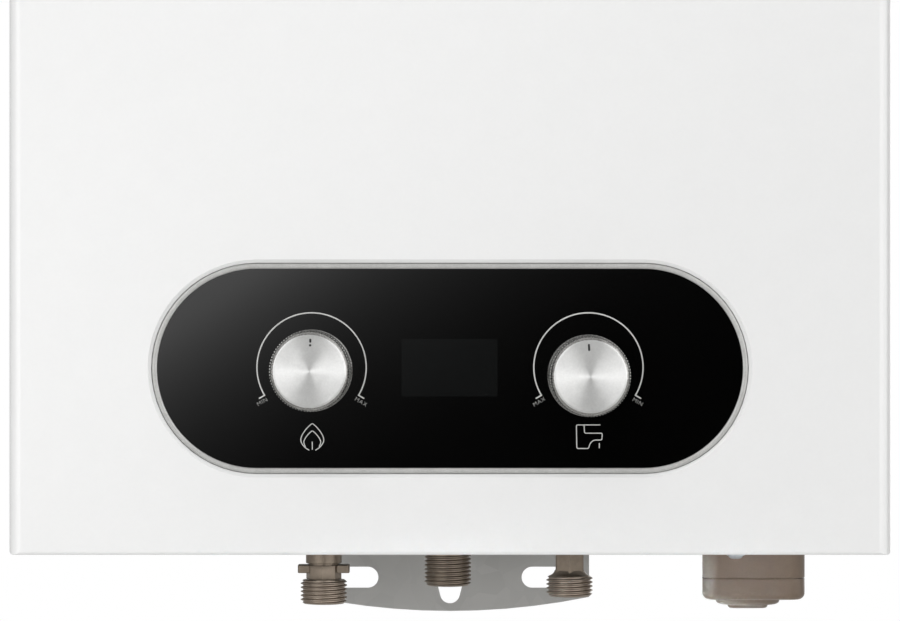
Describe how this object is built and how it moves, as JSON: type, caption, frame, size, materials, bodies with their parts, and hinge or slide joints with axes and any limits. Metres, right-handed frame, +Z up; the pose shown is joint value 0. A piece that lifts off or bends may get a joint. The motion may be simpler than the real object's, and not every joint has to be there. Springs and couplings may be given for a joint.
{
  "type": "tankless gas water heater",
  "caption": "Wall-hung tankless gas water heater: white casing, pill-shaped black control panel with metal knobs, pipe ends and a battery box below, flue collar on top.",
  "frame": {"origin": "on the wall face of the back plate, in the middle of its width, level with the lower edge of the casing", "axes": "+X to the right as seen from the front, +Y into the wall, +Z up"},
  "size_m": [0.3818, 0.1733, 0.667],
  "materials": {
    "white_enamel": "smooth white powder coat",
    "galvanised": "dull galvanised sheet",
    "trim_silver": "satin silver",
    "black_glass": "gloss black panel",
    "display": "dark display with a board",
    "dark_plastic": "moulded black",
    "knob_aluminium": "spun aluminium",
    "brass_stem": "turned brass",
    "cast_aluminium": "die-cast",
    "nickel_brass": "taupe nickel plate",
    "cast_brass": "cast brass",
    "copper": "drawn copper",
    "stainless": "pressed stainless",
    "zinc_screw": "zinc plate",
    "rubber": "black rubber",
    "ceramic": "white ceramic",
    "taupe_plastic": "moulded taupe",
    "cell_jacket": "printed jacket, left plain",
    "lead": "insulated lead"
  },
  "bodies": {
    "casing": {"front_cover": "white_enamel", "back_plate": "galvanised", "bottom_plate": "galvanised", "top_plate": "galvanised", "control_trim": "trim_silver", "control_glass": "black_glass", "display_carrier": "dark_plastic", "display_module": "display", "panel_screws": "zinc_screw", "gas_valve_body": "cast_aluminium", "water_valve_body": "cast_brass", "diaphragm": "rubber", "diaphragm_cover": "cast_brass", "switch_body": "dark_plastic", "valve_bracket": "galvanised", "valve_screws": "zinc_screw", "gas_inlet": "nickel_brass", "hot_outlet": "nickel_brass", "cold_inlet": "nickel_brass", "pipe_grommets": "rubber", "gas_tube": "cast_aluminium", "gas_manifold": "cast_aluminium", "gas_nozzles": "brass_stem", "burner_bars": "stainless", "burner_frame": "galvanised", "electrode_bracket": "stainless", "electrode_insulators": "ceramic", "electrode_wires": "stainless", "combustion_chamber": "copper", "exchanger_shell": "copper", "exchanger_fins": "copper", "exchanger_tubes": "copper", "cold_pipe": "copper", "hot_pipe": "copper", "pipe_unions": "cast_brass", "limit_thermostat": "stainless", "draught_hood": "galvanised", "flue_collar": "galvanised", "igniter_box": "dark_plastic", "electrode_leads": "lead", "battery_lead": "lead", "display_lead": "lead", "battery_box": "taupe_plastic", "battery_cells": "cell_jacket", "upper_contacts": "stainless", "hinge_pin": "stainless", "cover_screws": "zinc_screw", "chassis_screws": "zinc_screw"},
    "flame_dial": {"flame_knob": "knob_aluminium", "flame_core": "dark_plastic", "flame_stem": "brass_stem"},
    "water_dial": {"water_knob": "knob_aluminium", "water_core": "dark_plastic", "water_stem": "brass_stem"},
    "valve_rod": {"push_rod": "stainless"},
    "switch_hand": {"switch_lever": "stainless"},
    "battery_door": {"battery_lid": "taupe_plastic", "lid_contact": "stainless"},
    "door_latch": {"battery_latch": "taupe_plastic"}
  },
  "joints": [
    {"name": "flame_turn", "type": "hinge", "parent": "casing", "child": "flame_dial", "pos_m": [-0.0598, -0.15, 0.0797], "axis": [0, 1, 0], "range_deg": [-120, 120]},
    {"name": "water_turn", "type": "hinge", "parent": "casing", "child": "water_dial", "pos_m": [0.0598, -0.15, 0.0775], "axis": [0, 1, 0], "range_deg": [-120, 120]},
    {"name": "rod_slide", "type": "slide", "parent": "casing", "child": "valve_rod", "axis": [-1, 0, 0], "range_m": [0, 0.004], "stiffness_N_per_m": 600},
    {"name": "lever_swing", "type": "hinge", "parent": "casing", "child": "switch_hand", "pos_m": [-0.0127, -0.085, 0.0946], "axis": [0, 1, 0], "range_deg": [0, 23.8]},
    {"name": "lid_swing", "type": "hinge", "parent": "casing", "child": "battery_door", "pos_m": [0.1347, -0.035, -0.009], "axis": [1, 0, 0], "range_deg": [0, 95]},
    {"name": "latch_turn", "type": "hinge", "parent": "battery_door", "child": "door_latch", "pos_m": [0.1347, -0.077, -0.022], "axis": [0, 0, 1], "range_deg": [0, 90]}
  ],
  "couplings": [
    {"joint": "lever_swing", "follows": "rod_slide", "rad_per_m": 100}
  ]
}
